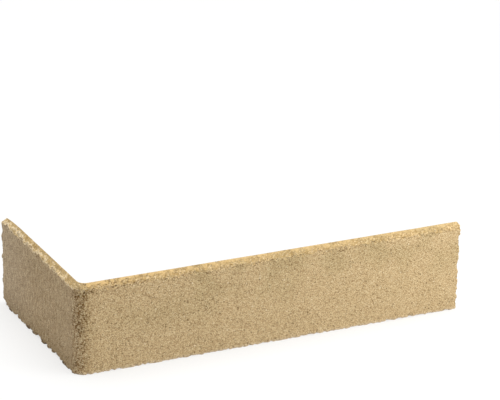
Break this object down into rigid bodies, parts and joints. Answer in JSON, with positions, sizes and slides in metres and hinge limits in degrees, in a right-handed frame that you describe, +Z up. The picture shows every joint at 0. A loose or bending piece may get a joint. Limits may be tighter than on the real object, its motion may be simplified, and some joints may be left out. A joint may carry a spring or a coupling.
{
  "type": "corner brick slip",
  "caption": "Thin L-shaped facing slip of bound sand with a rounded bend, a sanded face and a sloped top edge, bonded over an outside wall corner.",
  "frame": {"origin": "middle of the slip's overall box, on the floor it stands on", "axes": "+X along the long leg, away from the bend; +Y along the short leg, away from the bend; +Z up along the slip's height. Both sanded faces look to -Y and -X."},
  "size_m": [0.24, 0.114, 0.054],
  "materials": {
    "bound_sand": "rough sanded, matt, sand yellow"
  },
  "bodies": {
    "root": {"corner_slip": "bound_sand"}
  },
  "joints": []
}
